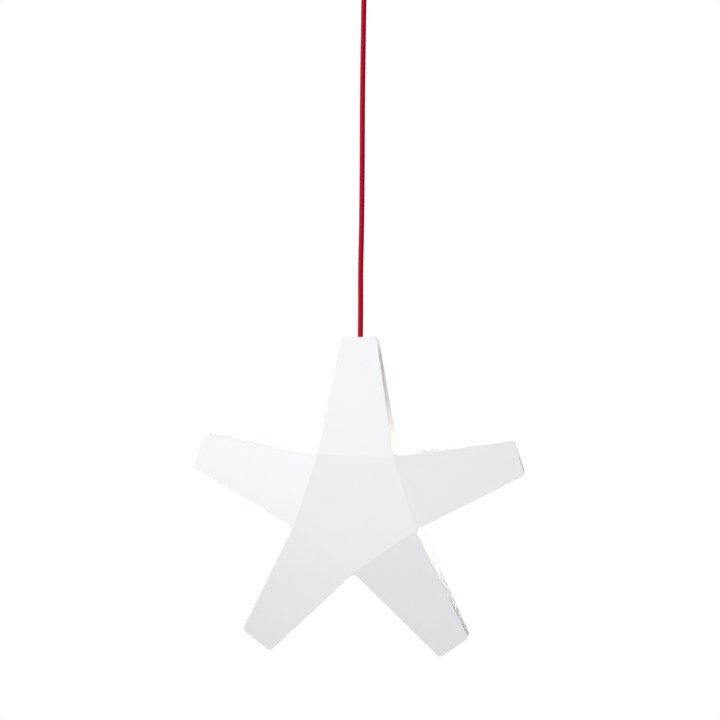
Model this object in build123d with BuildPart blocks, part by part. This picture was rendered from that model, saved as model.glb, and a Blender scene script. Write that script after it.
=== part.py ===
from build123d import *
from math import cos, hypot, pi, radians, sin, tan
import os

# A hanging star lamp: two folded sheet stars held apart by five bridges, a small lamp
# between them, and a textile cord up to a hook in a ceiling cup.
# Millimetres. +X right and -Y towards the viewer, +Z up.
# The origin is the middle of the ceiling plate's top face, where the lamp is fastened.

# Star, seen from the front
star_drop = 710.0
star_shift = 1.9
pentagon_radius = 77.8
arm_reach = 205.7
end_width = 42.3
tip_corner_radius = 4.5
notch_web = 4.5
arm_count = 5
arm_step = 360 / arm_count
half_step = arm_step / 2
quarter_turn = 90

# Star, front to back
centre_depth = 60.0
tip_depth = 21.6
sheet = 1.0

# Bridges and the lamp bracket, bent from thicker sheet
bridge_inset = 15.7
bridge_width = 32.0
bridge_flange = 12.0
bridge_sheet = 1.5
bend_radius = 0.8
bracket_radius = 88.0
bracket_width = 34.0
bracket_flange = 10.0

# Fasteners
m3_radius = 1.5
m3_head_radius = 2.8
m3_head_height = 1.7
m3_length = 5.5
driver_slot = 0.8
m10_radius = 5.0
m10_nut_width = 14.0
m10_nut_height = 3.0

# Cord and its grips
cord_diameter = 6.5
grip_collar_radius = 7.0
grip_collar_height = 9.0
grip_neck_length = 13.0
grip_rounding = 1.0
wire_diameter = 1.9
wire_spacing = 3.0
wire_rise = 3.5
inner_cord_tail = 1.5
run_share = 0.45

# Lampholder
holder_radius = 14.0
holder_wall = 2.0
holder_cap_height = 16.0
holder_body_height = 32.0
holder_floor = 4.0
holder_rounding = 3.0
thread_shell_wall = 0.6
thread_shell_length = 20.0
nipple_length = 12.0
nipple_rise = 4.5
nipple_bore_radius = 3.6
contact_thickness = 0.5
contact_width = 5.0
contact_reach = 5.5
contact_pad = 2.5
post_size = 5.0
post_reach = 8.0

# Bulb
cap_radius = 6.95
cap_length = 18.0
cap_wall = 0.6
insulator_height = 2.4
tip_height = 1.2
tip_radius = 2.4
globe_radius = 22.5
globe_wall = 1.0
collar_top_radius = 7.6
collar_length = 16.0
collar_wall = 1.5
board_thickness = 1.6
board_step = 1.0
neck_angle = 37

# Ceiling plate, hook, link and hanger
plate_radius = 22.0
plate_thickness = 2.5
plate_hole_circle_radius = 16.0
plate_hole_radius = 2.1
plate_hole_count = 3
hook_wire = 4.0
hook_radius = 8.0
hook_stem = 7.0
hook_shoulder_drop = 6.0
hook_side_drop = 7.0
hook_tip_rise = 4.0
hook_bend_radius = 2.8
hook_collar_radius = 4.5
hook_collar_height = 1.5
link_wire = 3.0
link_radius = 8.5
eye_thickness = 4.0
eye_hole_radius = 4.5
eye_radius = 7.5
hanger_radius = 7.5
hanger_height = 18.0
hanger_bore_depth = 11.0
eye_to_hanger = 6.1
window_width = 6.8
window_height = 5.0

# Terminal block on the cord's end wires
block_width = 16.0
block_depth = 10.0
block_height = 14.0
block_stand_off = 12.0
pole_spacing = 8.0
terminal_screw_radius = 1.4
terminal_screw_depth = 3.0

# Ceiling cup
cup_radius = 30.0
cup_height = 70.5
cup_wall = 1.0
cup_gap = 4.5
cup_edge_radius = 8.0
cup_neck_length = 5.5

# Clearances, and one overrun for cuts
fit = 0.05
slide_fit = 0.1
rest_gap = 0.3
overrun = 5.0

os.makedirs("parts", exist_ok=True)

# Sizes that follow from those above
pentagon_flat = pentagon_radius * cos(radians(half_step))
pentagon_edge = 2 * pentagon_radius * sin(radians(half_step))
half_depth = centre_depth / 2
set_back = (centre_depth - tip_depth) / 2
arm_run = arm_reach - pentagon_flat
arm_length = hypot(arm_run, set_back)
bridge_radius = arm_reach - bridge_inset
star_x = star_shift
star_z = -star_drop
cord_radius = cord_diameter / 2
grip_bore = cord_radius + fit
thread_shell_radius = cap_radius + slide_fit + thread_shell_wall
arm_angles = {
    "right": 18,
    "top": 18 + arm_step,
    "left": 18 + 2 * arm_step,
    "lower_left": 18 + 3 * arm_step,
    "lower_right": 18 + 4 * arm_step,
}
front, back = -1, 1

# Heights of the lamp's pieces, measured up from the star's centre
grip_top = bridge_radius + grip_collar_height
bracket_under = bracket_radius - bridge_sheet
holder_cap_foot = bracket_under - holder_cap_height
holder_mouth = holder_cap_foot - holder_body_height
holder_ceiling = holder_cap_foot - holder_floor
nipple_foot = bracket_radius + nipple_rise - nipple_length
inner_cord_foot = nipple_foot - inner_cord_tail
cap_foot = holder_mouth - rest_gap
cap_top = cap_foot + cap_length
insulator_top = cap_top + insulator_height
bulb_top = insulator_top + tip_height
collar_foot = cap_foot - collar_length
globe_neck_radius = globe_radius * sin(radians(neck_angle))
globe_centre = collar_foot - globe_radius * cos(radians(neck_angle))

# Heights of the ceiling pieces, measured from the ceiling
hook_centre_z = -hook_stem - hook_shoulder_drop - hook_side_drop
swing_z = hook_centre_z - hook_radius
link_top_z = swing_z + hook_wire / 2 + rest_gap + link_wire / 2
link_centre_z = link_top_z - link_radius
link_foot_z = link_centre_z - link_radius
eye_z = link_foot_z + link_wire / 2 + rest_gap - eye_hole_radius
hanger_top_z = eye_z - eye_to_hanger
hanger_foot_z = hanger_top_z - hanger_height
cord_top_z = hanger_foot_z + hanger_bore_depth
cup_foot_z = -cup_gap - cup_height
hanger_screw_z = hanger_foot_z + hanger_bore_depth / 3


def save(piece, name):
    """Labels a finished piece and writes it under its name."""
    piece.part.label = name
    export_step(piece.part, f"parts/{name}.step")


def lamp_level(height):
    """A level plane at a height over the star's centre, on the lamp's axis."""
    return Plane(origin=(star_x, 0, star_z + height))


def ceiling_level(z):
    """A level plane under the ceiling, on the hook's axis."""
    return Plane(origin=(0, 0, z))


def radial(angle):
    """The direction of an arm, seen from the front."""
    return Vector(cos(radians(angle)), 0, sin(radians(angle)))


def inner_depth(radius):
    """Half the room between the two stars, at a distance from their centre along an arm."""
    return half_depth - sheet - max(0, radius - pentagon_flat) * set_back / arm_run


def arm_plane(angle, side):
    """The outer face of an arm: X across it, Y along it from its fold, Z towards the back."""
    along = radial(angle) * arm_run - Vector(0, side * set_back, 0)
    fold = Vector(star_x, side * half_depth, star_z) + radial(angle) * pentagon_flat
    across = radial(angle + quarter_turn)
    return Plane(origin=fold, x_dir=across, z_dir=across.cross(along))


def along_arm(radius):
    """How far along an arm's face a point lies that is this far from the centre."""
    return (radius - pentagon_flat) * arm_length / arm_run


def edge_point(angle, side, hand):
    """The point of an arm's long edge where the web in the notch ends. hand is 1 or -1."""
    narrowing = (pentagon_edge - end_width) / 2
    edge = Vector(-hand * narrowing, arm_length).normalized() * notch_web
    return arm_plane(angle, side).from_local_coords(Vector(hand * pentagon_edge / 2, 0) + edge)


def star_sheet(side, screw_places):
    """One folded star: the pentagon, five arms, a small web in each notch and screw holes."""
    inwards = (0, -side, 0)
    middle = Vector(star_x, side * half_depth, star_z)
    with BuildPart() as star:
        with BuildSketch(Plane(origin=middle, x_dir=(1, 0, 0), z_dir=(0, -1, 0))):
            corners = [radial(angle + half_step) * pentagon_radius for angle in arm_angles.values()]
            Polygon(*[(corner.X, corner.Z) for corner in corners], align=None)
        extrude(amount=sheet, dir=inwards)
        for angle in arm_angles.values():
            with BuildSketch(arm_plane(angle, side)):
                foot, end = pentagon_edge / 2, end_width / 2
                Polygon((-foot, 0), (foot, 0), (end, arm_length), (-end, arm_length), align=None)
                fillet(vertices().group_by(Axis.Y)[-1], tip_corner_radius)
            extrude(amount=sheet, dir=inwards)
            corner = middle + radial(angle + half_step) * pentagon_radius
            one = edge_point(angle, side, 1)
            other = edge_point(angle + arm_step, side, -1)
            web = Plane(origin=corner, x_dir=one - corner, z_dir=(one - corner).cross(other - corner))
            far = web.to_local_coords(other)
            with BuildSketch(web):
                Polygon((0, 0), (notch_web, 0), (far.X, far.Y), align=None)
            extrude(amount=sheet, dir=inwards)
        for angle, radius in screw_places:
            with BuildSketch(arm_plane(angle, side)):
                with Locations((0, along_arm(radius))):
                    Circle(m3_radius + slide_fit)
            extrude(amount=overrun, both=True, mode=Mode.SUBTRACT)
    return star


def channel(angle, radius, width, flange, axial_hole):
    """A C-shaped bridge whose flanges lie flat on the inside of both stars."""
    normal = radial(angle).cross(Vector(0, 1, 0))
    tip, under = radius - flange, radius - bridge_sheet
    half = [
        (tip, inner_depth(tip) - bridge_sheet),
        (under, inner_depth(under) - bridge_sheet),
    ]
    outer = [(radius, inner_depth(radius)), (tip, inner_depth(tip))]
    outline = [*outer, *half, *[(r, -depth) for r, depth in reversed([*outer, *half])]]
    with BuildPart() as bridge:
        with BuildSketch(Plane(origin=(star_x, 0, star_z), x_dir=radial(angle), z_dir=normal)):
            Polygon(*outline, align=None)
            fillet(vertices().group_by(Axis.X)[-1], bend_radius + bridge_sheet)
            fillet(vertices().filter_by_position(Axis.X, under - fit, under + fit), bend_radius)
        extrude(amount=width / 2, both=True)
        with BuildSketch(arm_plane(angle, back)):
            with Locations((0, along_arm(radius - flange / 2))):
                Circle(m3_radius + fit)
        extrude(amount=-sheet - bridge_sheet - overrun, mode=Mode.SUBTRACT)
        if axial_hole:
            with BuildSketch(lamp_level(radius)):
                Circle(m10_radius + slide_fit)
            extrude(amount=-bridge_sheet - overrun, mode=Mode.SUBTRACT)
    return bridge


def slotted_screw(planes, head_radius, head_height, shank_radius, length):
    """Identical slotted screws, one on each plane, their shanks along the plane's -Z."""
    with BuildPart() as screws:
        for plane in planes:
            with BuildSketch(plane):
                Circle(head_radius)
            extrude(amount=head_height)
            with BuildSketch(plane):
                Circle(shank_radius)
            extrude(amount=-length)
            with BuildSketch(plane.offset(head_height)):
                Rectangle(driver_slot, head_radius * 2 + driver_slot)
            extrude(amount=-driver_slot, mode=Mode.SUBTRACT)
    return screws


def hex_nuts(planes):
    """Thin M10 nuts, one on each plane, thick towards the plane's +Z."""
    with BuildPart() as nuts:
        for plane in planes:
            with BuildSketch(plane):
                RegularPolygon(radius=m10_nut_width / 2, side_count=6, major_radius=False)
                Circle(m10_radius + fit, mode=Mode.SUBTRACT)
            extrude(amount=m10_nut_height)
    return nuts


def gland(seat, neck_length, bore):
    """A cord grip seated on a plane: collar towards +Z, threaded neck towards -Z, side screw hole."""
    with BuildPart() as grip:
        with BuildSketch(seat):
            Circle(grip_collar_radius)
        extrude(amount=grip_collar_height)
        rims = edges().filter_by(GeomType.CIRCLE).sort_by(lambda rim: seat.to_local_coords(rim.center()).Z)
        fillet(rims[-1], grip_rounding)
        with BuildSketch(seat):
            Circle(m10_radius)
        extrude(amount=-neck_length)
        with BuildSketch(seat):
            Circle(bore)
        extrude(amount=neck_length + grip_collar_height + overrun, both=True, mode=Mode.SUBTRACT)
        with BuildSketch(side_screw_plane(seat, 0)):
            Circle(m3_radius + fit)
        extrude(amount=grip_collar_radius + overrun, mode=Mode.SUBTRACT)
    return grip


def side_screw_plane(seat, reach):
    """The plane across a grip's side screw, its Z pointing out of the collar at the back."""
    centre = seat.origin + seat.z_dir * grip_collar_height / 2 + Vector(0, reach, 0)
    return Plane(origin=centre, x_dir=(1, 0, 0), z_dir=(0, 1, 0))


def side_screw(seat, bore):
    """The screw through a grip's collar, whose end rests on the cord."""
    length = grip_collar_radius - bore
    plane = side_screw_plane(seat, grip_collar_radius)
    return slotted_screw([plane], m3_head_radius, m3_head_height, m3_radius, length)


def bend_radii(points):
    """The largest even radius for each corner of a route."""
    radii = []
    for before, corner, after in zip(points, points[1:], points[2:]):
        into, out = Vector(corner) - Vector(before), Vector(after) - Vector(corner)
        half_turn = radians(into.get_angle(out) / 2)
        radii.append(run_share * min(into.length, out.length) / tan(half_turn))
    return radii


def tubes(name, routes, radius):
    """One round tube along each route, with its radii and its volume printed."""
    expected = 0
    with BuildPart() as group:
        for points in routes:
            radii = bend_radii(points)
            with BuildLine() as path:
                FilletPolyline(*points, radius=radii)
            route = path.wires()[0]
            with BuildSketch(route ^ 0):
                Circle(radius)
            sweep()
            expected += pi * radius**2 * route.length
            rounded = ", ".join(f"{value:.1f}" for value in radii)
            print(f"{name}: length {route.length:.1f}, radii {rounded}")
    print(f"{name}: volume {group.part.volume:.0f}, section times length {expected:.0f}")
    return group


# The two folded stars. The back one has a hole for each screw.
bridge_screw_radius = bridge_radius - bridge_flange / 2
bracket_screw_radius = bracket_radius - bracket_flange / 2
all_screw_places = [(angle, bridge_screw_radius) for angle in arm_angles.values()]
all_screw_places.append((arm_angles["top"], bracket_screw_radius))
save(star_sheet(front, []), "front_shell")
save(star_sheet(back, all_screw_places), "back_shell")

# Bridges near the arm ends, welded to the front star and screwed to the back one
for arm_name, arm_angle in arm_angles.items():
    bridge = channel(arm_angle, bridge_radius, bridge_width, bridge_flange, arm_name == "top")
    save(bridge, f"{arm_name}_bridge")
save(channel(arm_angles["top"], bracket_radius, bracket_width, bracket_flange, True), "lamp_bracket")

screw_planes = []
for angle, radius in all_screw_places:
    face = arm_plane(angle, back)
    middle = face.from_local_coords(Vector(0, along_arm(radius)))
    screw_planes.append(Plane(origin=middle, x_dir=face.x_dir, z_dir=face.z_dir))
save(slotted_screw(screw_planes, m3_head_radius, m3_head_height, m3_radius, m3_length), "bridge_screws")

# Cord grip on the top bridge
star_seat = lamp_level(bridge_radius)
save(gland(star_seat, grip_neck_length, grip_bore), "cord_grip")
save(side_screw(star_seat, grip_bore), "cord_grip_screw")
save(hex_nuts([lamp_level(bridge_radius - bridge_sheet - m10_nut_height)]), "cord_grip_nut")

# Cord inside the star, bowed a little so that nothing pulls on the lampholder
inner_route_shares = [(0, 0.3), (0.6, 0.47), (-0.5, 0.66), (0, 0.83), (0, 1)]
inner_drop = grip_top - inner_cord_foot
inner_route = [(star_x, 0, star_z + grip_top)]
for side_share, drop_share in inner_route_shares:
    inner_route.append((star_x + side_share * cord_diameter, side_share * cord_diameter / 2,
                        star_z + grip_top - drop_share * inner_drop))
save(tubes("inner_cord", [inner_route], cord_radius), "inner_cord")

# Lampholder, hung under its bracket by a hollow nipple and two nuts
with BuildPart() as nipple:
    with BuildSketch(lamp_level(nipple_foot)):
        Circle(m10_radius)
        Circle(nipple_bore_radius, mode=Mode.SUBTRACT)
    extrude(amount=nipple_length)
save(nipple, "lampholder_nipple")
inside_cap = lamp_level(bracket_under - holder_wall - m10_nut_height)
save(hex_nuts([lamp_level(bracket_radius), inside_cap]), "nipple_nuts")

with BuildPart() as holder_cap:
    with BuildSketch(lamp_level(holder_cap_foot)):
        Circle(holder_radius)
    extrude(amount=holder_cap_height)
    fillet(edges().group_by(Axis.Z)[-1], holder_rounding)
    with BuildSketch(lamp_level(holder_cap_foot)):
        Circle(holder_radius - holder_wall)
    extrude(amount=holder_cap_height - holder_wall, mode=Mode.SUBTRACT)
    with BuildSketch(lamp_level(bracket_under)):
        Circle(m10_radius + slide_fit)
    extrude(amount=overrun, both=True, mode=Mode.SUBTRACT)
save(holder_cap, "lampholder_cap")

with BuildPart() as holder_body:
    with BuildSketch(lamp_level(holder_mouth)):
        Circle(holder_radius)
    extrude(amount=holder_body_height)
    fillet(edges().group_by(Axis.Z)[0], holder_rounding / 2)
    with BuildSketch(lamp_level(holder_mouth)):
        Circle(thread_shell_radius + fit)
    extrude(amount=holder_body_height - holder_floor, mode=Mode.SUBTRACT)
save(holder_body, "lampholder_body")

with BuildPart() as thread_shell:
    with BuildSketch(lamp_level(holder_ceiling)):
        Circle(thread_shell_radius)
        Circle(thread_shell_radius - thread_shell_wall, mode=Mode.SUBTRACT)
    extrude(amount=-thread_shell_length)
save(thread_shell, "lampholder_thread")

with BuildPart() as contact:
    pad_top = bulb_top + rest_gap + contact_thickness
    with BuildSketch(Plane(origin=(star_x, 0, star_z), x_dir=(1, 0, 0), z_dir=(0, -1, 0))):
        Polygon(
            (-contact_reach, holder_ceiling),
            (-contact_pad, holder_ceiling),
            (contact_pad / 2, pad_top),
            (contact_pad, pad_top),
            (contact_pad, pad_top - contact_thickness),
            (contact_pad / 2 - contact_thickness, pad_top - contact_thickness),
            (-contact_pad - contact_thickness, holder_ceiling - contact_thickness),
            (-contact_reach, holder_ceiling - contact_thickness),
            align=None,
        )
    extrude(amount=contact_width / 2, both=True)
save(contact, "centre_contact")

with BuildPart() as posts:
    with BuildSketch(lamp_level(holder_cap_foot)):
        with Locations((post_reach, 0), (-post_reach, 0)):
            Rectangle(post_size, post_size)
    extrude(amount=post_size)
save(posts, "lampholder_terminals")

lamp_wire_routes = []
for hand in (-1, 1):
    x = star_x + hand * wire_spacing / 2
    level = star_z + holder_cap_foot + post_size / 2
    post_face = star_x + hand * (post_reach - post_size / 2)
    lamp_wire_routes.append([(x, 0, star_z + inner_cord_foot), (x, 0, level), (post_face, 0, level)])
save(tubes("lamp_wires", lamp_wire_routes, wire_diameter / 2), "lamp_wires")

# Bulb
with BuildPart() as bulb_cap:
    with BuildSketch(lamp_level(cap_foot)):
        Circle(cap_radius)
        Circle(cap_radius - cap_wall, mode=Mode.SUBTRACT)
    extrude(amount=cap_length)
save(bulb_cap, "bulb_cap")

with BuildPart() as insulator:
    with BuildSketch(lamp_level(cap_top)):
        Circle(cap_radius - cap_wall / 2)
    with BuildSketch(lamp_level(insulator_top)):
        Circle(tip_radius + cap_wall)
    loft()
save(insulator, "bulb_insulator")

with BuildPart() as tip_contact:
    with BuildSketch(lamp_level(insulator_top)):
        Circle(tip_radius)
    extrude(amount=tip_height)
    fillet(edges().group_by(Axis.Z)[-1], tip_height / 2)
save(tip_contact, "bulb_tip")

with BuildPart() as collar:
    with BuildSketch(lamp_level(cap_foot)):
        Circle(collar_top_radius)
    with BuildSketch(lamp_level(collar_foot)):
        Circle(globe_neck_radius)
    loft()
    with BuildSketch(lamp_level(cap_foot)):
        Circle(collar_top_radius - collar_wall)
    with BuildSketch(lamp_level(collar_foot)):
        Circle(globe_neck_radius - collar_wall)
    loft(mode=Mode.SUBTRACT)
save(collar, "bulb_collar")

with BuildPart() as board:
    with BuildSketch(lamp_level(collar_foot)):
        Circle(globe_neck_radius - collar_wall - board_step)
    extrude(amount=board_thickness)
save(board, "led_board")

with BuildPart() as globe:
    with BuildSketch(Plane(origin=(star_x, 0, star_z + globe_centre), x_dir=(1, 0, 0), z_dir=(0, -1, 0))):
        Circle(globe_radius)
        Circle(globe_radius - globe_wall, mode=Mode.SUBTRACT)
        Rectangle(globe_radius, globe_radius * 2, align=(Align.MAX, Align.CENTER), mode=Mode.SUBTRACT)
        with Locations((0, collar_foot - globe_centre)):
            Rectangle(globe_radius, globe_radius, align=(Align.MIN, Align.MIN), mode=Mode.SUBTRACT)
    revolve(axis=Axis((star_x, 0, 0), (0, 0, 1)))
save(globe, "bulb_globe")

# Ceiling plate and its hook
with BuildPart() as plate:
    with BuildSketch(ceiling_level(0)):
        Circle(plate_radius)
        Circle(hook_wire / 2 + fit, mode=Mode.SUBTRACT)
        with PolarLocations(plate_hole_circle_radius, plate_hole_count):
            Circle(plate_hole_radius, mode=Mode.SUBTRACT)
    extrude(amount=-plate_thickness)
save(plate, "ceiling_plate")

with BuildPart() as hook:
    with BuildLine(Plane.XZ):
        FilletPolyline(
            (0, 0),
            (0, -hook_stem),
            (-hook_radius, -hook_stem - hook_shoulder_drop),
            (-hook_radius, hook_centre_z),
            radius=hook_bend_radius,
        )
        ThreePointArc((-hook_radius, hook_centre_z), (0, swing_z), (hook_radius, hook_centre_z))
        Line((hook_radius, hook_centre_z), (hook_radius, hook_centre_z + hook_tip_rise))
    with BuildSketch(ceiling_level(0)):
        Circle(hook_wire / 2)
    sweep()
    fillet(edges().filter_by(GeomType.CIRCLE).sort_by(Axis.X)[-1], hook_wire / 3)
    with BuildSketch(ceiling_level(-plate_thickness)):
        Circle(hook_collar_radius)
    extrude(amount=-hook_collar_height)
save(hook, "ceiling_hook")

# Ring that hangs in the hook, and the hanger that hangs in the ring
with BuildPart() as link:
    with BuildSketch(Plane(origin=(0, 0, link_centre_z), x_dir=(0, 1, 0), z_dir=(0, 0, 1))):
        with Locations((link_radius, 0)):
            Circle(link_wire / 2)
    revolve(axis=Axis((0, 0, link_centre_z), (1, 0, 0)))
save(link, "hanger_link")

with BuildPart() as hanger:
    with BuildSketch(Plane(origin=(0, 0, eye_z), x_dir=(1, 0, 0), z_dir=(0, -1, 0))):
        Circle(eye_radius)
        Rectangle(eye_radius * 2, eye_to_hanger, align=(Align.CENTER, Align.MAX))
        Circle(eye_hole_radius, mode=Mode.SUBTRACT)
    extrude(amount=eye_thickness / 2, both=True)
    with BuildSketch(ceiling_level(hanger_top_z)):
        Circle(hanger_radius)
    extrude(amount=-hanger_height)
    with BuildSketch(ceiling_level(hanger_foot_z)):
        Circle(grip_bore)
    extrude(amount=hanger_bore_depth, mode=Mode.SUBTRACT)
    with BuildSketch(ceiling_level(cord_top_z)):
        with Locations((0, -wire_diameter)):
            Rectangle(window_width, hanger_radius * 2, align=(Align.CENTER, Align.MIN))
    extrude(amount=window_height, mode=Mode.SUBTRACT)
    with BuildSketch(Plane(origin=(0, 0, hanger_screw_z), x_dir=(1, 0, 0), z_dir=(0, 1, 0))):
        Circle(m3_radius + fit)
    extrude(amount=hanger_radius + overrun, mode=Mode.SUBTRACT)
save(hanger, "cord_hanger")

hanger_screw_plane = Plane(origin=(0, hanger_radius, hanger_screw_z), x_dir=(1, 0, 0), z_dir=(0, 1, 0))
hanger_screw_length = hanger_radius - grip_bore
hanger_screw = slotted_screw(
    [hanger_screw_plane], m3_head_radius, m3_head_height, m3_radius, hanger_screw_length
)
save(hanger_screw, "cord_hanger_screw")

# The cord's end wires and the terminal block for the house's supply
wire_level = cord_top_z + wire_rise
block_centre_y = block_stand_off + block_depth / 2
end_wire_routes = []
for hand in (-1, 1):
    near, far = hand * wire_spacing / 2, hand * pole_spacing / 2
    end_wire_routes.append([
        (near, 0, cord_top_z),
        (near, 0, wire_level),
        (near, hanger_radius - wire_diameter / 2, wire_level),
        (far, block_stand_off - wire_diameter, wire_level),
        (far, block_centre_y - terminal_screw_radius * 2, wire_level),
    ])
save(tubes("cord_end_wires", end_wire_routes, wire_diameter / 2), "cord_end_wires")

with BuildPart() as block:
    with BuildSketch(Plane(origin=(0, block_stand_off, wire_level), x_dir=(1, 0, 0), z_dir=(0, 1, 0))):
        Rectangle(block_width, block_height)
        with Locations((-pole_spacing / 2, 0), (pole_spacing / 2, 0)):
            Circle(wire_diameter / 2 + slide_fit, mode=Mode.SUBTRACT)
    extrude(amount=block_depth)
    with BuildSketch(ceiling_level(wire_level + block_height / 2)):
        with Locations((0, block_centre_y)):
            with GridLocations(pole_spacing, block_depth / 2, 2, 2):
                Circle(terminal_screw_radius + fit)
    extrude(amount=-terminal_screw_depth, mode=Mode.SUBTRACT)
save(block, "terminal_block")

screw_top = ceiling_level(wire_level + block_height / 2 - terminal_screw_depth / 2)
with GridLocations(pole_spacing, block_depth / 2, 2, 2) as screw_grid:
    terminal_planes = []
    for place in screw_grid.local_locations:
        centre = screw_top.origin + place.position + Vector(0, block_centre_y, 0)
        terminal_planes.append(Plane(origin=centre))
with BuildPart() as terminal_screws:
    for plane in terminal_planes:
        with BuildSketch(plane):
            Circle(terminal_screw_radius)
        extrude(amount=-terminal_screw_depth / 2)
        with BuildSketch(plane):
            Rectangle(driver_slot / 2, terminal_screw_radius * 3)
        extrude(amount=-driver_slot / 2, mode=Mode.SUBTRACT)
save(terminal_screws, "terminal_screws")

# Ceiling cup with its own grip, which slides on the cord
with BuildPart() as cup:
    with BuildSketch(ceiling_level(cup_foot_z)):
        Circle(cup_radius)
    extrude(amount=cup_height)
    fillet(edges().group_by(Axis.Z)[0], cup_edge_radius)
    offset(amount=-cup_wall, openings=faces().sort_by(Axis.Z)[-1])
    with BuildSketch(ceiling_level(cup_foot_z)):
        Circle(m10_radius + slide_fit)
    extrude(amount=overrun, both=True, mode=Mode.SUBTRACT)
save(cup, "ceiling_cup")

cup_seat = Plane(origin=(0, 0, cup_foot_z), x_dir=(1, 0, 0), z_dir=(0, 0, -1))
save(gland(cup_seat, cup_neck_length, cord_radius + slide_fit), "cup_grip")
save(side_screw(cup_seat, cord_radius + slide_fit), "cup_grip_screw")
save(hex_nuts([ceiling_level(cup_foot_z + cup_wall)]), "cup_grip_nut")

# Hanging cord, from the hanger down to the grip on the star. It hangs taut, with the
# slight waves of a textile cord.
cord_route = [
    (0, 0, cord_top_z),
    (0, 0, -210),
    (0.95, 0, -290),
    (1.5, 0, -367),
    (0.9, 0, -425),
    (star_x, 0, -470),
    (star_x, 0, star_z + grip_top),
]
save(tubes("hanging_cord", [cord_route], cord_radius), "hanging_cord")
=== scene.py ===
# %% [markdown]
# # A hanging advent star
# The lamp is two folded stars of thin white sheet, held apart by small bridges, with a bulb between
# them. It hangs from a hook by a crimson textile cord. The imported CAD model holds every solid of
# it, in metres, and stands as the fixed frame. This lesson dresses that frame: it gives each solid
# its finish, makes the pieces that CAD leaves plain, and lights the whole as in a photo studio.

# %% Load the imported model
import bpy
from math import ceil, cos, pi, radians, sin
from mathutils import Matrix, Vector
from mathutils.bvhtree import BVHTree
import numpy as np


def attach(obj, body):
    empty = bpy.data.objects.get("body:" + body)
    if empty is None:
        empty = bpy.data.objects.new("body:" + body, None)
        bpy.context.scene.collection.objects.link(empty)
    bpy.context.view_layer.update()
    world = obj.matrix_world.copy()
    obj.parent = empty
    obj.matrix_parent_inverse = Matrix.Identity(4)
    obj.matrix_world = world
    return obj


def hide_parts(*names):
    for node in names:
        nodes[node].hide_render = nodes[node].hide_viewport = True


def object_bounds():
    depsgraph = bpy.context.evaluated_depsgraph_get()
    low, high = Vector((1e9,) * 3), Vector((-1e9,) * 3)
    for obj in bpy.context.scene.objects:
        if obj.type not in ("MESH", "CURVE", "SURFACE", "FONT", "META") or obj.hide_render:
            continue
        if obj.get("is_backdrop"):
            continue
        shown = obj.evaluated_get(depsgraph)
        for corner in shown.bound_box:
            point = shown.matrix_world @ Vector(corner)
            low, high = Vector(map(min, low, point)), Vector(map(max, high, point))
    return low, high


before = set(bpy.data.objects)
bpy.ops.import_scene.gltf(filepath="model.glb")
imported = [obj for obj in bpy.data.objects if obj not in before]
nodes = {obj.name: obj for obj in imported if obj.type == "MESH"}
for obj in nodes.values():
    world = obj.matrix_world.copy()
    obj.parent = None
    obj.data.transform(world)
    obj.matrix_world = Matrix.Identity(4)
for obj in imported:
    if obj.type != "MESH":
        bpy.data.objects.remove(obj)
cad_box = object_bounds()
mm = 0.001

# %% [markdown]
# ## The camera
# The photographer stood a little to the right of the lamp and a little above it, two metres away.
# A camera in Blender looks along its own -Z with +Y up. It could be turned with a Track To
# constraint, but the photograph also has a slight roll, so here the three axes go straight into the
# camera's matrix. The lens follows from how fast the star's far parts shrink.

# %% Camera
lamp_x = 1.9
star_centre = Vector((lamp_x, 0, -710)) * mm
camera_place = Vector((266.3, -2011.8, -524.9)) * mm
sight = Vector((-0.1303, 0.9915, -0.0036)).normalized()
upward = Vector((-0.0155, 0.0016, 0.9999))
rightward = sight.cross(upward).normalized()
upward = rightward.cross(sight)

camera_data = bpy.data.cameras.new("camera")
camera_data.sensor_width = 36
camera_data.lens = 83.33
camera = bpy.data.objects.new("camera", camera_data)
camera.matrix_world = Matrix.LocRotScale(
    camera_place, Matrix((rightward, upward, -sight)).transposed(), None
)
bpy.context.scene.collection.objects.link(camera)
bpy.context.scene.camera = camera
print("camera", round((camera_place - star_centre).length, 3), "m from the star")

# %% [markdown]
# ## The cord's line
# A cord under load hangs almost straight, with the faint waves that its braid keeps from the coil
# it was sold in. A NURBS spline suits that: it is drawn towards a few control points and is smooth
# everywhere, where a Bezier would want handles at each one. The control points are the route's own
# points in the CAD source. The hanging cord has one more, its second, which keeps it straight where
# the ceiling cup slides down. Blender turns the bare curve into a mesh, and its vertices are the
# line.

# %% Lines of the two cords
def smooth_line(name, route):
    """The points of a NURBS spline drawn towards a route in millimetres."""
    curve = bpy.data.curves.new(name, "CURVE")
    curve.dimensions = "3D"
    spline = curve.splines.new("NURBS")
    spline.points.add(len(route) - 1)
    for point, place in zip(spline.points, route):
        point.co = (*(Vector(place) * mm), 1)
    spline.order_u = 3
    spline.use_endpoint_u = True
    spline.resolution_u = 40
    holder = bpy.data.objects.new(name, curve)
    mesh = bpy.data.meshes.new_from_object(holder)
    line = [vertex.co.copy() for vertex in mesh.vertices]
    bpy.data.objects.remove(holder)
    bpy.data.meshes.remove(mesh)
    length = sum((b - a).length for a, b in zip(line, line[1:]))
    print(name, "is", round(length / mm, 1), "mm long, with", len(line), "points")
    return line, length


hanging_route = [
    (0, 0, -57), (0, 0, -118), (0, 0, -210), (0.95, 0, -290), (1.5, 0, -367),
    (0.9, 0, -425), (1.9, 0, -470), (1.9, 0, -511),
]
inner_route = [
    (1.9, 0, -511), (1.9, 0, -547), (5.8, 1.95, -567.4),
    (-1.35, -1.625, -590.2), (1.9, 0, -610.6), (1.9, 0, -631),
]
hanging_line, hanging_length = smooth_line("hanging_line", hanging_route)
inner_line, inner_length = smooth_line("inner_line", inner_route)

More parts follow.
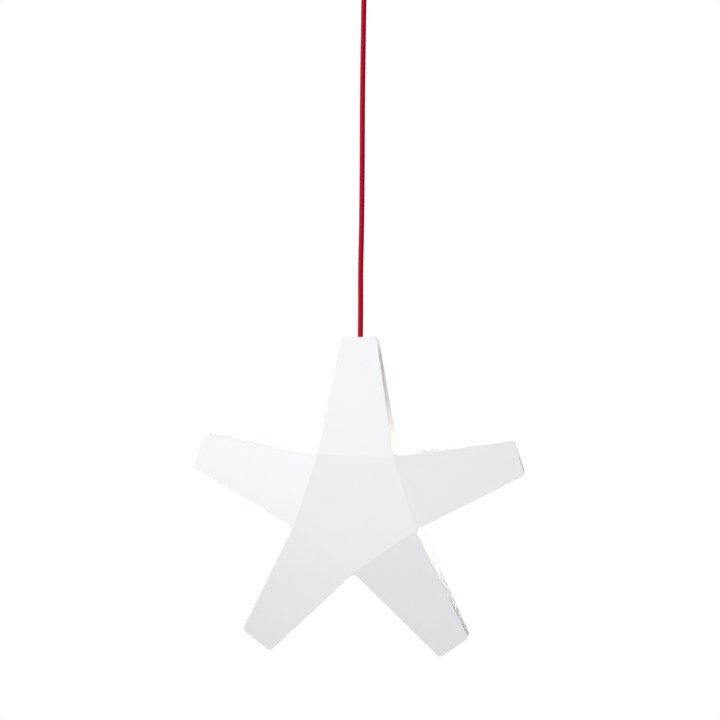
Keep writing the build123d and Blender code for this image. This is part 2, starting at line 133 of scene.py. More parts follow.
# %% [markdown]
# ## The textile sleeve
# The cord's sleeve is a tube of rayon yarn, braided round the two wires: twelve flat strands wind
# one way and twelve the other, each over two and under two. A round bevel with a painted pattern
# would look like printed plastic from nearby. So the tube is a grid of vertices round the line,
# pressed in where one strand dives under another. That takes two things: rings at equal steps
# along the line, and how high the top strand stands at every vertex.

# %% Steps along the line, and the braid's height
cord_radius = 3.25 * mm
strands_each_way = 12
sides_per_strand = 5
strand_pitch = 1.7 * mm
dive_depth = 0.2 * mm
ring_gap = 0.32 * mm


def evenly_spaced(line, gap):
    """Points at equal steps along a line, with the distance of each from its start."""
    points = np.array([tuple(point) for point in line])
    reached = np.concatenate(([0], np.cumsum(np.linalg.norm(np.diff(points, axis=0), axis=1))))
    distance = np.linspace(0, reached[-1], ceil(reached[-1] / gap) + 1)
    places = np.stack([np.interp(distance, reached, points[:, axis]) for axis in range(3)], axis=1)
    return places, distance


def strand_height(one_way, other_way):
    """How high the braid's top strand stands, from 0 in a dive to 1, at a place in the UV map."""
    step = np.mod(np.floor(one_way) + np.floor(other_way), 4)
    first_on_top = step < 2
    across = np.where(first_on_top, one_way, other_way) % 1
    along = np.where(first_on_top, (step + other_way % 1) / 2, (step - 2 + one_way % 1) / 2)
    crown = 1 - np.abs(2 * across - 1) ** 3
    return crown * (0.5 + 0.5 * (1 - np.abs(2 * along - 1) ** 4))


print("each strand is", round(2 * pi * cord_radius / strands_each_way / mm, 2), "mm wide")

# %% [markdown]
# ## A mesh from rings
# Faces with four corners join each ring of vertices to the next, and one face with many corners
# closes each end. Only the wall is shaded smooth, so that the ends keep sharp rims. The lamp's
# rolled threads and its ribs are grids too, and use the same helper further on.

# %% Grid of faces
def grid_mesh(name, rings, closed_ends=True):
    """A tube's mesh from an array of rings of points, with its ends closed."""
    ring_count, side_count = rings.shape[:2]
    side = np.arange(side_count)
    start = np.arange(ring_count - 1)[:, None] * side_count
    following = (side + 1) % side_count
    quads = np.stack(
        (start + side, start + following, start + side_count + following, start + side_count + side),
        axis=2,
    ).reshape(-1, 4)
    faces = quads.tolist()
    if closed_ends:
        faces.append(side[::-1].tolist())
        faces.append((side + (ring_count - 1) * side_count).tolist())
    mesh = bpy.data.meshes.new(name)
    mesh.from_pydata(rings.reshape(-1, 3).tolist(), [], faces)
    mesh.polygons.foreach_set("use_smooth", [len(face) == 4 for face in faces])
    mesh.update()
    return mesh


# %% [markdown]
# ## The braid's own coordinates
# The UV map counts strands instead of millimetres: U grows by one across each strand that winds
# one way, and V across the others. The material reads the same numbers for its fine yarns. The
# last face of a ring leads back to the first vertex, and there the count goes on instead of
# starting again.

# %% Braided cords
def braided_cord(name, line):
    """A braided textile tube round a line, its UV map counting strands."""
    places, distance = evenly_spaced(line, ring_gap)
    along = np.gradient(places, axis=0)
    along /= np.linalg.norm(along, axis=1)[:, None]
    sideways = np.array((1.0, 0, 0)) - along * along[:, :1]
    sideways /= np.linalg.norm(sideways, axis=1)[:, None]
    forwards = np.cross(along, sideways)

    side_count = strands_each_way * sides_per_strand
    turn = np.arange(side_count) / side_count
    one_way = turn * strands_each_way + distance[:, None] / strand_pitch
    other_way = turn * strands_each_way - distance[:, None] / strand_pitch
    radius = cord_radius - dive_depth * (1 - strand_height(one_way, other_way))
    angle = turn * 2 * pi
    round_line = (
        np.cos(angle)[None, :, None] * sideways[:, None]
        + np.sin(angle)[None, :, None] * forwards[:, None]
    )
    mesh = grid_mesh(name, places[:, None] + round_line * radius[:, :, None])

    uv = mesh.uv_layers.new(name="strands")
    corner_vertex = np.empty(len(mesh.loops), int)
    mesh.loops.foreach_get("vertex_index", corner_vertex)
    ring, side = np.divmod(corner_vertex, side_count)
    face_side = np.repeat(np.tile(np.arange(side_count), len(distance) - 1), 4)
    quad_corners = len(face_side)
    wrapped = np.zeros(len(side))
    wrapped[:quad_corners] = (side[:quad_corners] < face_side) * strands_each_way
    u = one_way[ring, side] + wrapped
    v = other_way[ring, side] + wrapped
    uv.data.foreach_set("uv", np.stack((u, v), axis=1).ravel())
    cord = bpy.data.objects.new(name, mesh)
    bpy.context.scene.collection.objects.link(cord)
    print(name, "has", len(mesh.polygons), "faces")
    return cord


hanging_cord = braided_cord("textile_cord", hanging_line)
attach(hanging_cord, "cord")
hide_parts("hanging_cord")

inner_cord = braided_cord("textile_cord_inside", inner_line)
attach(inner_cord, "star")
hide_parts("inner_cord")

# %% [markdown]
# ## Nodes without much typing
# Every finish here is a small tree of shader nodes round a Principled BSDF. Adding nodes by hand
# takes three lines each, so one helper adds a node, sets its inputs and joins them where the value
# is another node's output. Sums, ranges and mixes come up often, so each gets a short helper too.

# %% Helpers for nodes
def fill(tree, socket, value):
    """Sets an input to a value, or joins another node's output to it."""
    if isinstance(value, bpy.types.NodeSocket):
        tree.links.new(value, socket)
    else:
        socket.default_value = value


def node(tree, kind, inputs=(), **settings):
    """A new shader node with its settings made and its inputs filled."""
    made = tree.nodes.new("ShaderNode" + kind)
    for setting, value in settings.items():
        setattr(made, setting, value)
    for socket, value in dict(inputs).items():
        fill(tree, made.inputs[socket], value)
    return made


def maths(tree, operation, *values):
    """The output of a Math node."""
    made = node(tree, "Math", operation=operation)
    for socket, value in zip(made.inputs, values):
        fill(tree, socket, value)
    return made.outputs[0]


def between(tree, share, low, high):
    """A number from low to high, as share goes from 0 to 1."""
    made = node(tree, "MapRange", {"Value": share, "To Min": low, "To Max": high})
    return made.outputs["Result"]


def blended(tree, share, first, second):
    """A colour from first to second, as share goes from 0 to 1."""
    colours = [c if isinstance(c, bpy.types.NodeSocket) else (*c, 1) for c in (first, second)]
    made = node(tree, "Mix", {0: share, 6: colours[0], 7: colours[1]}, data_type="RGBA")
    return made.outputs[2]


# %% [markdown]
# ## What every finish needs
# A finish joins a colour, a roughness and a height to its shader. Their patterns read Object
# coordinates: the solids all sit at the origin, so these are metres, and a scale of 1000 gives a
# pattern of about a millimetre. A Bump node turns a height into tilted shading, as if the surface
# had those dents. Finishes are kept by name and given out by name.

# %% Helpers for finishes
finishes = {}


def new_finish(name):
    """Starts a finish: the tree of a new material, its shader, and Object coordinates."""
    material = bpy.data.materials.new(name)
    material.use_nodes = True
    finishes[name] = material
    tree = material.node_tree
    return tree, tree.nodes["Principled BSDF"], node(tree, "TexCoord").outputs["Object"]


def skin(tree, shader, colour, roughness):
    """Joins a colour and a roughness to the shader."""
    tree.links.new(colour, shader.inputs["Base Color"])
    tree.links.new(roughness, shader.inputs["Roughness"])


def noise(tree, place, size, detail=2.0, roughness=0.5):
    """Noise whose blotches are about size millimetres wide."""
    made = node(
        tree, "TexNoise",
        {"Vector": place, "Scale": 1 / (size * mm), "Detail": detail, "Roughness": roughness},
    )
    return made.outputs["Fac"]


def layered(tree, coarse, coarse_share, fine, fine_share):
    """Two heights added up, each times its share."""
    shares = maths(tree, "MULTIPLY", coarse, coarse_share), maths(tree, "MULTIPLY", fine, fine_share)
    return maths(tree, "ADD", *shares)


def bump(tree, shader, height, depth, below=None):
    """Joins a height to the shader's normal, depth millimetres deep, over another normal if any."""
    made = node(tree, "Bump", {"Height": height, "Distance": depth * mm, "Strength": 1.0})
    if below is not None:
        tree.links.new(below, made.inputs["Normal"])
    tree.links.new(made.outputs["Normal"], shader.inputs["Normal"])


def wear(name, *wearers):
    """Gives a finish to CAD nodes or pieces by name."""
    for wearer in wearers:
        piece = nodes[wearer] if isinstance(wearer, str) else wearer
        piece.data.materials.clear()
        piece.data.materials.append(finishes[name])
    print(name, "on", len(wearers))


# %% [markdown]
# ## White powder coat
# Powder is sprayed dry on the folded sheet and melted in an oven. It flows into a skin with soft
# dimples a millimetre or two apart, called orange peel, and a much finer grain that dulls the
# shine. It is nearly even in colour. Each part of that gets one noise: large and faint for the
# tone, medium for the dimples, small for the grain. The coat also rounds the cut edges, which the
# Bevel node shows without a change to the solid.

# %% Powder coat
def powder_coat(name, pale, deep, roughness, peel_depth):
    """A baked coat between two close tones, its dimples peel_depth millimetres deep."""
    tree, shader, place = new_finish(name)
    cloud = noise(tree, place, size=60)
    peel = noise(tree, place, size=1.6, detail=1.5)
    grain = noise(tree, place, size=0.35)
    dullness = between(tree, grain, roughness - 0.05, roughness + 0.08)
    skin(tree, shader, blended(tree, cloud, pale, deep), dullness)
    shader.inputs["Specular IOR Level"].default_value = 0.4
    rounded = node(tree, "Bevel", {"Radius": 0.45 * mm}, samples=4).outputs["Normal"]
    bump(tree, shader, layered(tree, peel, 0.8, grain, 0.2), peel_depth, rounded)


powder_coat("star_white", (0.875, 0.885, 0.9), (0.865, 0.877, 0.893), roughness=0.5, peel_depth=0.1)
powder_coat("bridge_white", (0.82, 0.825, 0.83), (0.8, 0.806, 0.813), roughness=0.55, peel_depth=0.02)
powder_coat("cup_white", (0.74, 0.745, 0.75), (0.72, 0.726, 0.732), roughness=0.42, peel_depth=0.01)
bridges = ["top_bridge", "left_bridge", "lower_left_bridge", "lower_right_bridge", "right_bridge"]
wear("star_white", "front_shell", "back_shell")
wear("bridge_white", *bridges, "lamp_bracket")
wear("cup_white", "ceiling_cup")

# %% [markdown]
# ## Plated steel and nickel
# Screws, nuts, the ceiling plate and its hook are steel under a few thousandths of a millimetre of
# zinc. It is pale grey with a faint blue, blotchy from the bath, and finely scratched from
# tumbling in a box of others. The contacts are brass, and the bulb's tip is a drop of solder. Metals
# take all their colour from reflection, so the variation goes mostly into the roughness.

# %% Metals
def plated(name, pale, deep, roughness, blotch):
    """A metal between two tones in blotches of a width in millimetres, with fine scratches."""
    tree, shader, place = new_finish(name)
    bath = noise(tree, place, blotch, detail=3.0, roughness=0.6)
    stretched = node(tree, "Mapping", {"Vector": place, "Scale": (1.0, 1.0, 0.12)}).outputs["Vector"]
    scratches = noise(tree, stretched, size=0.25, detail=3.0, roughness=0.7)
    uneven = maths(tree, "MULTIPLY", maths(tree, "ADD", bath, scratches), 0.5)
    dullness = between(tree, uneven, roughness - 0.1, roughness + 0.14)
    skin(tree, shader, blended(tree, bath, pale, deep), dullness)
    shader.inputs["Metallic"].default_value = 1.0
    bump(tree, shader, scratches, 0.004)


plated("zinc_screws", (0.6, 0.62, 0.65), (0.44, 0.45, 0.47), roughness=0.32, blotch=1.5)
plated("zinc_plate", (0.56, 0.58, 0.61), (0.4, 0.41, 0.43), roughness=0.36, blotch=4.0)
plated("brass_contacts", (0.84, 0.64, 0.3), (0.66, 0.47, 0.2), roughness=0.3, blotch=2.0)
plated("bulb_tip", (0.66, 0.66, 0.67), (0.5, 0.5, 0.5), roughness=0.42, blotch=0.9)
wear("zinc_screws", "bridge_screws", "cord_grip_screw", "cup_grip_screw", "cord_hanger_screw")
wear("zinc_plate", "ceiling_plate", "ceiling_hook", "hanger_link")
wear("brass_contacts", "centre_contact", "lampholder_terminals", "terminal_screws")
wear("bulb_tip", "bulb_tip")

# %% [markdown]
# ## Threads in the finish
# The hollow nipple of the lampholder is zinc-plated, and the star's cord grip is nickel on brass,
# warmer and smoother. The nipple and the grip's neck carry a fine M10 thread, one millimetre from
# crest to crest. A wave that climbs with the angle round the axis gives it: the height counted in
# pitches, less the turn counted in rounds, and a sine of both. Only the part between two heights
# gets it, so that the collar above the neck stays smooth.

# %% Threaded metals
fine_pitch = 1.0


def threaded(name, pale, deep, roughness, thread_foot, thread_top):
    """A plated metal with a fine thread round the lamp's axis between two heights in millimetres."""
    plated(name, pale, deep, roughness, blotch=3.0)
    tree = finishes[name].node_tree
    shader = tree.nodes["Principled BSDF"]
    place = node(tree, "TexCoord").outputs["Object"]
    apart = node(tree, "SeparateXYZ", {"Vector": place})
    x = maths(tree, "SUBTRACT", apart.outputs["X"], lamp_x * mm)
    turn = maths(tree, "ARCTAN2", apart.outputs["Y"], x)
    climb = maths(tree, "MULTIPLY", apart.outputs["Z"], 2 * pi / (fine_pitch * mm))
    wave = maths(tree, "SINE", maths(tree, "SUBTRACT", climb, turn))
    above = maths(tree, "GREATER_THAN", apart.outputs["Z"], thread_foot * mm)
    below = maths(tree, "LESS_THAN", apart.outputs["Z"], thread_top * mm)
    ridge = maths(tree, "MULTIPLY", wave, maths(tree, "MULTIPLY", above, below))
    scratched = shader.inputs["Normal"].links[0].from_socket
    bump(tree, shader, ridge, 0.25, scratched)


zinc, deep_zinc = (0.72, 0.72, 0.73), (0.56, 0.56, 0.57)
nickel, deep_nickel = (0.78, 0.76, 0.72), (0.66, 0.64, 0.6)
threaded("zinc_threads", zinc, deep_zinc, roughness=0.34, thread_foot=-630, thread_top=-617)
threaded("nickel_grip", nickel, deep_nickel, roughness=0.28, thread_foot=-534, thread_top=-520.1)
plated("zinc_nuts", zinc, deep_zinc, roughness=0.34, blotch=3.0)
wear("zinc_threads", "lampholder_nipple")
wear("zinc_nuts", "nipple_nuts", "cord_grip_nut")
wear("nickel_grip", "cord_grip")

# %% [markdown]
# ## Moulded plastics
# The lampholder is white thermoset, the hanger and the terminal block are nylon, and the bulb's
# body is a glossier plastic. The cup's grip and the bulb's black insulator are moulded too. A mould
# leaves a fine matt grain and slow ripples where the plastic shrank. A little subsurface scattering
# lets light creep under the skin, as it does in nylon.

# %% Plastics
def moulded(name, pale, deep, roughness, scatter):
    """A moulded plastic between two close tones, with a share of light scattered under its skin."""
    tree, shader, place = new_finish(name)
    shrink = noise(tree, place, size=7, detail=1.5)
    grain = noise(tree, place, size=0.3)
    dullness = between(tree, grain, roughness - 0.05, roughness + 0.07)
    skin(tree, shader, blended(tree, shrink, pale, deep), dullness)
    shader.inputs["Subsurface Weight"].default_value = scatter
    shader.inputs["Subsurface Scale"].default_value = 1 * mm
    bump(tree, shader, layered(tree, shrink, 0.6, grain, 0.1), 0.03)


moulded("holder_white", (0.84, 0.84, 0.82), (0.8, 0.8, 0.78), roughness=0.4, scatter=0.05)
moulded("hanger_plastic", (0.86, 0.86, 0.84), (0.82, 0.82, 0.79), roughness=0.5, scatter=0.15)
moulded("terminal_plastic", (0.84, 0.84, 0.8), (0.8, 0.8, 0.75), roughness=0.45, scatter=0.2)
moulded("cup_grip_plastic", (0.86, 0.86, 0.86), (0.83, 0.83, 0.83), roughness=0.4, scatter=0.1)
moulded("bulb_body", (0.9, 0.9, 0.88), (0.88, 0.88, 0.86), roughness=0.25, scatter=0.05)
moulded("led_board", (0.9, 0.9, 0.88), (0.84, 0.84, 0.82), roughness=0.35, scatter=0.0)
moulded("bulb_insulator", (0.03, 0.03, 0.04), (0.05, 0.05, 0.06), roughness=0.18, scatter=0.0)
wear("holder_white", "lampholder_body", "lampholder_cap")
wear("hanger_plastic", "cord_hanger")
wear("terminal_plastic", "terminal_block")
wear("cup_grip_plastic", "cup_grip", "cup_grip_nut")
wear("bulb_body", "bulb_collar")
wear("led_board", "led_board")
wear("bulb_insulator", "bulb_insulator")

# %% [markdown]
# ## Insulated wires
# The cord's two conductors come out of the textile as a brown and a blue wire. Each pair is one
# CAD node, so the colour is chosen by side: the wires lie left and right of their own middle.

# %% Wires
def wires(name, middle_x):
    """A brown insulation left of a middle in millimetres, and a blue one right of it."""
    tree, shader, place = new_finish(name)
    apart = node(tree, "SeparateXYZ", {"Vector": place})
    right = maths(tree, "GREATER_THAN", apart.outputs["X"], middle_x * mm)
    ripple = noise(tree, place, size=0.8)
    brown = blended(tree, ripple, (0.16, 0.055, 0.02), (0.12, 0.04, 0.015))
    blue = blended(tree, ripple, (0.02, 0.09, 0.36), (0.015, 0.07, 0.28))
    skin(tree, shader, blended(tree, right, brown, blue), between(tree, ripple, 0.3, 0.42))
    bump(tree, shader, ripple, 0.02)


wires("lamp_wires", middle_x=lamp_x)
wires("end_wires", middle_x=0)
wear("lamp_wires", "lamp_wires")
wear("end_wires", "cord_end_wires")

# %% [markdown]
# ## The lit bulb
# A frosted globe glows evenly, and so bright that a camera set for the white star sees plain white
# there. What matters is its warm light on the inside of both stars, which shows at the star's
# edges. The globe's own surface gives that light. Towards the collar it falls to a quarter, because
# the light sits on the board and shines away from it.

# %% Opal globe
def opal(name, full_below, dim_above, glow):
    """Frosted glass that glows, its light falling to a quarter between two heights in millimetres."""
    tree, shader, place = new_finish(name)
    height = node(tree, "SeparateXYZ", {"Vector": place}).outputs["Z"]
    share = node(
        tree, "MapRange",
        {"Value": height, "From Min": full_below * mm, "From Max": dim_above * mm,
         "To Min": 1.0, "To Max": 0.25},
    ).outputs["Result"]
    milk = noise(tree, place, size=9)
    tone = blended(tree, milk, (0.9, 0.89, 0.86), (0.87, 0.86, 0.83))
    skin(tree, shader, tone, between(tree, milk, 0.3, 0.36))
    shader.inputs["Emission Color"].default_value = (1.0, 0.95, 0.72, 1)
    tree.links.new(maths(tree, "MULTIPLY", share, glow), shader.inputs["Emission Strength"])


opal("bulb_opal", full_below=-700, dim_above=-687, glow=18.0)
wear("bulb_opal", "bulb_globe")

# %% [markdown]
# ## Crimson textile
# The yarn is shiny rayon. Each flat strand holds three yarns side by side, so there are three fine
# ridges along every strand. The colour carries painted light: a painted highlight along the crown of
# each strand and painted shade in the gaps between strands. The UV map counts strands, so the whole
# part of each number tells which strand it is, and the rest how far across it a point lies. The tree
# works out which strand is on top in the same way as the mesh did.

# %% Textile
yarns_per_strand = 3


def textile(name, painted_highlight_colour, painted_shade_colour):
    """Braided yarn with a painted highlight on the crowns of its strands and painted shade between them.
    """
    tree, shader, place = new_finish(name)
    strands = node(tree, "UVMap", uv_map="strands").outputs["UV"]
    apart = node(tree, "SeparateXYZ", {"Vector": strands})
    u, v = apart.outputs["X"], apart.outputs["Y"]
    counted = maths(tree, "ADD", maths(tree, "FLOOR", u), maths(tree, "FLOOR", v))
    step = maths(tree, "FLOORED_MODULO", counted, 4.0)
    other_on_top = maths(tree, "GREATER_THAN", step, 1.5)
    across_u, across_v = maths(tree, "FRACT", u), maths(tree, "FRACT", v)
    across = node(
        tree, "Mix", {0: other_on_top, 2: across_u, 3: across_v}, data_type="FLOAT"
    ).outputs[0]
    yarn_wave = maths(tree, "SINE", maths(tree, "MULTIPLY", across, yarns_per_strand * pi))
    yarn = maths(tree, "ABSOLUTE", yarn_wave)
    fuzz = noise(tree, place, size=0.2, roughness=0.6)
    crown = maths(tree, "SINE", maths(tree, "MULTIPLY", across, pi))
    # Painted light: this share runs from painted shade in the gaps to a painted highlight on each crown.
    painted_light_share = maths(tree, "MULTIPLY", maths(tree, "POWER", crown, 0.5), between(tree, fuzz, 0.75, 1.0))
    skin(tree, shader, blended(tree, painted_light_share, painted_shade_colour, painted_highlight_colour), between(tree, fuzz, 0.5, 0.7))
    shader.inputs["Specular IOR Level"].default_value = 0.06
    height = maths(tree, "ADD", yarn, maths(tree, "MULTIPLY", fuzz, 0.6))
    bump(tree, shader, height, 0.05)


# Painted light: the bright crimson is the crowns with a painted highlight, and the deep red is painted
# shade.
textile("cord_textile", painted_highlight_colour=(0.6, 0.003, 0.037), painted_shade_colour=(0.2, 0.0005, 0.006))
wear("cord_textile", hanging_cord, inner_cord)

# %% [markdown]
# ## Rolled threads
# A bulb's cap is a thin nickel-plated tube, rolled into a round wave that climbs nine turns to the
# inch. The CAD keeps it as a plain tube. Here a grid of vertices goes round and up, and the radius
# follows a cosine of height less turn, which makes a right-hand thread. The lampholder's brass
# shell is the same wave a tenth of a millimetre further out, so the two stay in step as the bulb
# unscrews.

# %% Bulb cap and thread shell
thread_pitch = 25.4 / 9
thread_depth = 0.45
rolled_sheet = 0.35
plain_end = 1.2
row_height = 0.2
thread_sides = 72


def closed_tube(name, heights, outer, inner):
    """A tube with two walls round the lamp's axis, its radii arrays by height and turn."""
    turn = np.linspace(0, 2 * pi, outer.shape[1], endpoint=False)
    walls = []
    for radius in (outer, inner):
        rings = np.empty((*radius.shape, 3))
        rings[:, :, 0] = star_centre.x / mm + radius * np.cos(turn)
        rings[:, :, 1] = radius * np.sin(turn)
        rings[:, :, 2] = heights[:, None]
        walls.append(rings)
    loop = np.concatenate((walls[0], walls[1][::-1], walls[0][:1])) * mm
    piece = bpy.data.objects.new(name, grid_mesh(name, loop, closed_ends=False))
    bpy.context.scene.collection.objects.link(piece)
    return piece


def thread_tube(name, foot, top, crest):
    """A thin tube rolled into a thread between two heights, plain at both ends."""
    heights = np.linspace(foot, top, ceil((top - foot) / row_height) + 1)
    turn = np.linspace(0, 2 * pi, thread_sides, endpoint=False)
    phase = heights[:, None] * 2 * pi / thread_pitch - turn[None, :]
    rolled = np.clip(np.minimum(heights - foot, top - heights) / plain_end - 0.5, 0, 1)[:, None]
    outer = crest - thread_depth * rolled * (0.5 - 0.5 * np.cos(phase))
    print(name, "has", round((top - foot) / thread_pitch, 1), "turns")
    return closed_tube(name, heights, outer, outer - rolled_sheet)


plated("bulb_cap", (0.8, 0.79, 0.76), (0.68, 0.67, 0.64), roughness=0.26, blotch=2.5)
bulb_cap = thread_tube("bulb_screw_cap", foot=-671.8, top=-653.8, crest=6.95)
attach(bulb_cap, "bulb")
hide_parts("bulb_cap")
wear("bulb_cap", bulb_cap)

thread_shell = thread_tube("lampholder_thread_shell", foot=-663.5, top=-643.5, crest=7.4)
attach(thread_shell, "star")
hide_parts("lampholder_thread")
wear("brass_contacts", thread_shell)

# %% [markdown]
# ## A lampholder that fingers can grip
# The lampholder's cap screws onto its body, so the real one has small ribs round it for the
# fingers, and a lip where the two meet. CAD keeps both as smooth cylinders. A thin sleeve over
# the cap makes the ribs: its radius is a row of round crests, and between them it dives just under
# the cap's own surface, which then shows as the valleys. The lip is a tube with a rounded outline.

# %% Ribs and lip of the lampholder
holder_radius = 14.0
holder_joint = -639.5
sunk = 0.15
rib_count, rib_rise = 36, 0.5
rib_foot, rib_top, rib_fade = 1.2, 11.6, 1.2
rib_rows, sides_per_rib = 27, 10
lip_height, lip_rise = 1.6, 0.4
lip_rows, lip_sides = 17, 96


def sleeve(name, heights, outer):
    """A sleeve on the lampholder with outer radii by height and turn, its inner wall sunk in."""
    piece = closed_tube(name, heights, outer, np.full_like(outer, holder_radius - 2 * sunk))
    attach(piece, "star")
    wear("holder_white", piece)


rib_heights = holder_joint + np.linspace(rib_foot, rib_top, rib_rows)
rib_turn = np.linspace(0, 2 * pi, rib_count * sides_per_rib, endpoint=False)
crests = np.clip(np.sin(rib_turn * rib_count), 0, 1) ** 0.6
from_end = np.minimum(rib_heights - rib_heights[0], rib_heights[-1] - rib_heights)
rounded_ends = np.sqrt(1 - (1 - np.clip(from_end / rib_fade, 0, 1)) ** 2)
rib_radii = holder_radius - sunk + (rib_rise + sunk) * rounded_ends[:, None] * crests[None, :]
sleeve("lampholder_ribs", rib_heights, rib_radii)

lip_heights = holder_joint + np.linspace(-lip_height, 0.0, lip_rows)
lip_round = np.sqrt(np.clip(1 - np.linspace(-1, 1, lip_rows) ** 4, 0, 1))
lip_radii = holder_radius - sunk + (lip_rise + sunk) * lip_round
sleeve("lampholder_lip", lip_heights, np.repeat(lip_radii[:, None], lip_sides, axis=1))
print(rib_count, "ribs, and a lip", lip_height, "mm high")

# %% [markdown]
# ## Spot welds
# The front star has no screws, so its bridges are spot-welded to it. The electrode leaves a shallow
# round print on the flange, a raised ring with a flat middle. Each print is a small disc of rings
# with that outline. To lie on the tilted flange it needs a place and a normal: a ray from between
# the two stars towards the front finds both. A BVH tree holds the bridge's faces for it.

# %% Weld prints
print_outline = [(0.9, 0.05), (1.35, 0.06), (1.6, 0.13), (1.8, 0.16), (2.0, 0.12), (2.3, -0.05)]
print_sides = 32
print_turn = np.linspace(0, 2 * pi, print_sides, endpoint=False)
arm_angles = (90, 162, 234, 306, 18)
bridge_reach, beside_middle = 184, 9
bracket_reach, beside_bracket_middle = 83, 10


def weld_print(bridge, arm_angle, reach, sideways):
    """Rings of points of one weld's print on the front flange of a bridge, in metres."""
    outward = Vector((cos(arm_angle), 0, sin(arm_angle)))
    across = Vector((-sin(arm_angle), 0, cos(arm_angle)))
    start = star_centre + (outward * reach + across * sideways) * mm
    mesh = nodes[bridge].data
    faces = BVHTree.FromPolygons(
        [vertex.co for vertex in mesh.vertices], [face.vertices[:] for face in mesh.polygons]
    )
    place, normal, _, _ = faces.ray_cast(start, Vector((0, -1, 0)))
    first = across.cross(normal).normalized()
    second = normal.cross(first)
    spokes = [first * cos(turn) + second * sin(turn) for turn in print_turn]
    return [
        [place + spoke * radius * mm + normal * rise * mm for spoke in spokes]
        for radius, rise in print_outline
    ]


weld_places = [
    (bridge, arm_angle, bridge_reach, sideways)
    for bridge, arm_angle in zip(bridges, arm_angles) for sideways in (-beside_middle, beside_middle)
]
weld_places += [
    ("lamp_bracket", 90, bracket_reach, sideways)
    for sideways in (-beside_bracket_middle, beside_bracket_middle)
]
points, faces = [], []
for bridge, arm_angle, reach, sideways in weld_places:
    for index, ring in enumerate(weld_print(bridge, radians(arm_angle), reach, sideways)):
        begin = len(points)
        points += ring
        if index == 0:
            faces.append(list(range(begin, begin + print_sides)))
            continue
        before = begin - print_sides
        for side in range(print_sides):
            following = (side + 1) % print_sides
            faces.append([before + side, begin + side, begin + following, before + following])
weld_mesh = bpy.data.meshes.new("weld_spots")
weld_mesh.from_pydata(points, [], faces)
weld_mesh.polygons.foreach_set("use_smooth", [True] * len(faces))
weld_spots = bpy.data.objects.new("weld_spots", weld_mesh)
bpy.context.scene.collection.objects.link(weld_spots)
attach(weld_spots, "star")
wear("bridge_white", weld_spots)
print(len(weld_places), "weld prints, each", 2 * print_outline[-1][0], "mm wide")

# %% [markdown]
# ## Floor
# The lamp hangs from a ceiling, so the floor lies far below it, out of the camera's view. It is
# one pale disc that throws a little light back up. Seen from above it fades into the white wall,
# as a studio's curved backdrop does: Light Path tells its material that the camera, a mirror or
# glass is looking, and then part of what they see is a plain glow, six tenths of it in the middle
# and all of it near the rim. The rest is the real disc with the lamp's shadow. It is marked as
# stage, because it is not a part of the lamp.

# %% Floor
def looked_at(tree):
    """1 for a ray from the camera, a mirror or glass, and 0 for one that only carries light."""
    ray = node(tree, "LightPath")
    seen = maths(tree, "ADD", ray.outputs["Is Camera Ray"], ray.outputs["Is Glossy Ray"])
    seen = maths(tree, "ADD", seen, ray.outputs["Is Transmission Ray"])
    return maths(tree, "MINIMUM", seen, 1.0)


floor_depth = 2.4
floor_radius = 4.0
floor_sides = 96
rim = [
    (floor_radius * cos(turn), floor_radius * sin(turn), -floor_depth)
    for turn in np.linspace(0, 2 * pi, floor_sides, endpoint=False)
]
floor_mesh = bpy.data.meshes.new("floor")
floor_mesh.from_pydata(rim, [], [list(range(len(rim)))])
floor = bpy.data.objects.new("floor", floor_mesh)
bpy.context.scene.collection.objects.link(floor)
floor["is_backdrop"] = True
floor_tree, floor_shader, floor_place = new_finish("floor")
floor_shader.inputs["Base Color"].default_value = (0.55, 0.55, 0.55, 1)
floor_shader.inputs["Roughness"].default_value = 0.8
from_middle = node(floor_tree, "VectorMath", {0: floor_place}, operation="LENGTH").outputs["Value"]
outward = node(
    floor_tree, "MapRange", {"Value": from_middle, "From Min": floor_depth, "From Max": floor_radius}
).outputs["Result"]
glow_colour = blended(floor_tree, outward, (0.96, 0.96, 0.965), (1.0, 1.0, 1.0))
glow_share = maths(floor_tree, "MULTIPLY", looked_at(floor_tree), between(floor_tree, outward, 0.6, 1.0))
floor_glow = node(floor_tree, "Emission", {"Color": glow_colour})
shown = node(
    floor_tree, "MixShader", {0: glow_share, 1: floor_shader.outputs[0], 2: floor_glow.outputs[0]}
)
floor_tree.links.new(shown.outputs[0], floor_tree.nodes["Material Output"].inputs["Surface"])
wear("floor", floor)

# %% [markdown]
# ## Studio light
# The star's upper and left faces are the brightest and its lower right ones the dullest, so the
# main lamp is a large soft box high on the left, in front. In the photograph its light falls off
# towards the star's feet, faster and faster, as it does under a soft box with a grid. The lamp's
# spread does that: it keeps the light within 60 degrees, aimed above the star's middle and to its
# right. A second one, without a grid, stands in front too, low and to the right, and is faintly
# pink, as a room's own light is beside a flash. It also reaches into the gap beside the top arm.
# A third stands high behind the lamp on the left and lights its back. Each is an Area lamp, which
# gives soft edges: the wider the lamp, the softer.

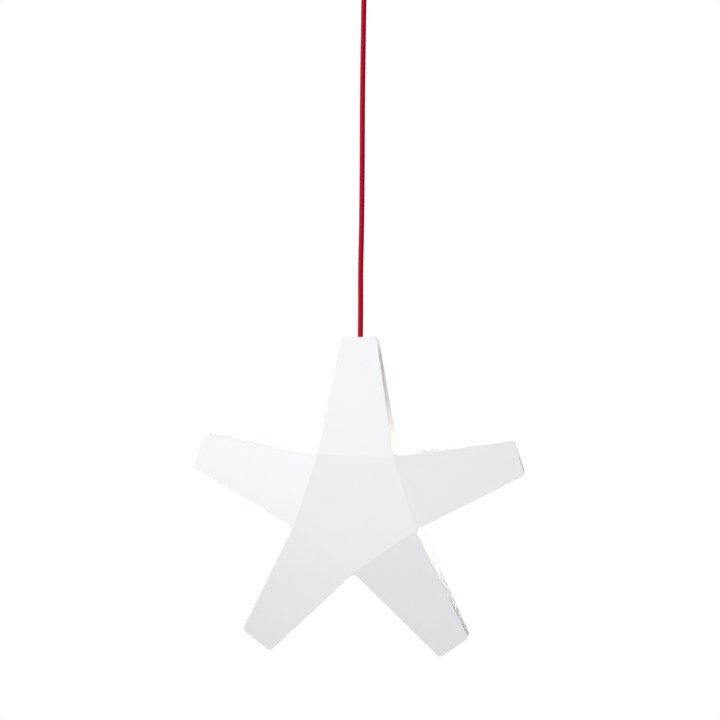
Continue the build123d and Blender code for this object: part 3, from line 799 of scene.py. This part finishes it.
# %% Lamps
def soft_box(name, place, size, power, tint, aim=(0, 0, 0), spread=180):
    """A square area lamp, its place and aim in metres from the star's middle, its spread in degrees."""
    data = bpy.data.lights.new(name, "AREA")
    data.shape = "SQUARE"
    data.size = size
    data.energy = power
    data.color = tint
    data.spread = radians(spread)
    lamp = bpy.data.objects.new(name, data)
    lamp.location = star_centre + Vector(place)
    lamp.rotation_euler = (Vector(aim) - Vector(place)).to_track_quat("-Z", "Y").to_euler()
    lamp.visible_camera = False
    bpy.context.scene.collection.objects.link(lamp)
    print(name, power, "W at", round(Vector(place).length, 2), "m")


soft_box(
    "main_lamp", place=(-1.85, -1.63, 1.34), size=0.9, power=9.2, tint=(0.961, 1.0, 0.991),
    aim=(0.29, 0, 0.18), spread=60,
)
soft_box("front_lamp", place=(0.59, -1.64, -0.19), size=0.9, power=10.1, tint=(1.0, 0.9, 0.935))
soft_box("back_lamp", place=(-1.4, 1.5, 1.3), size=1.2, power=26, tint=(1.0, 1.0, 1.0))

# %% [markdown]
# ## White background
# The photograph's background is pure white. Lighting a wall until it burns out would also flood
# the lamp. Light Path tells the world which kind of ray asks: the camera, mirrors and glass see
# plain white, and everything else gets a soft grey light. That light comes mostly from the side
# of the white wall, behind the lamp, and little from the dark room round the camera.

# %% World
world = bpy.data.worlds.new("studio")
bpy.context.scene.world = world
world.use_nodes = True
sky = world.node_tree
sky.nodes.clear()
direction = node(sky, "SeparateXYZ", {"Vector": node(sky, "TexCoord").outputs["Generated"]})
wallward = node(sky, "MapRange", {"Value": direction.outputs["Y"], "From Min": -0.2, "From Max": 0.5})
room_tone = blended(sky, wallward.outputs["Result"], (0.2, 0.2, 0.2), (1.0, 1.0, 1.0))
room_light = node(sky, "Background", {"Color": room_tone, "Strength": 0.6})
plain_white = node(sky, "Background", {"Color": (1, 1, 1, 1), "Strength": 1.0})
chosen = node(sky, "MixShader", {0: looked_at(sky), 1: room_light.outputs[0], 2: plain_white.outputs[0]})
node(sky, "OutputWorld", {"Surface": chosen.outputs[0]})
bpy.context.scene.view_settings.view_transform = "Standard"
print("world", world.name, "with", len(sky.nodes), "nodes")

# %% [markdown]
# ## Check and finish
# The dressed lamp must fill the same box as the CAD model.

# %% Sizes
visual_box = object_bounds()
for axis, letter in enumerate("xyz"):
    wide = [round((box[1][axis] - box[0][axis]) / mm, 2) for box in (cad_box, visual_box)]
    print(letter, "CAD and visual size in mm:", *wide)
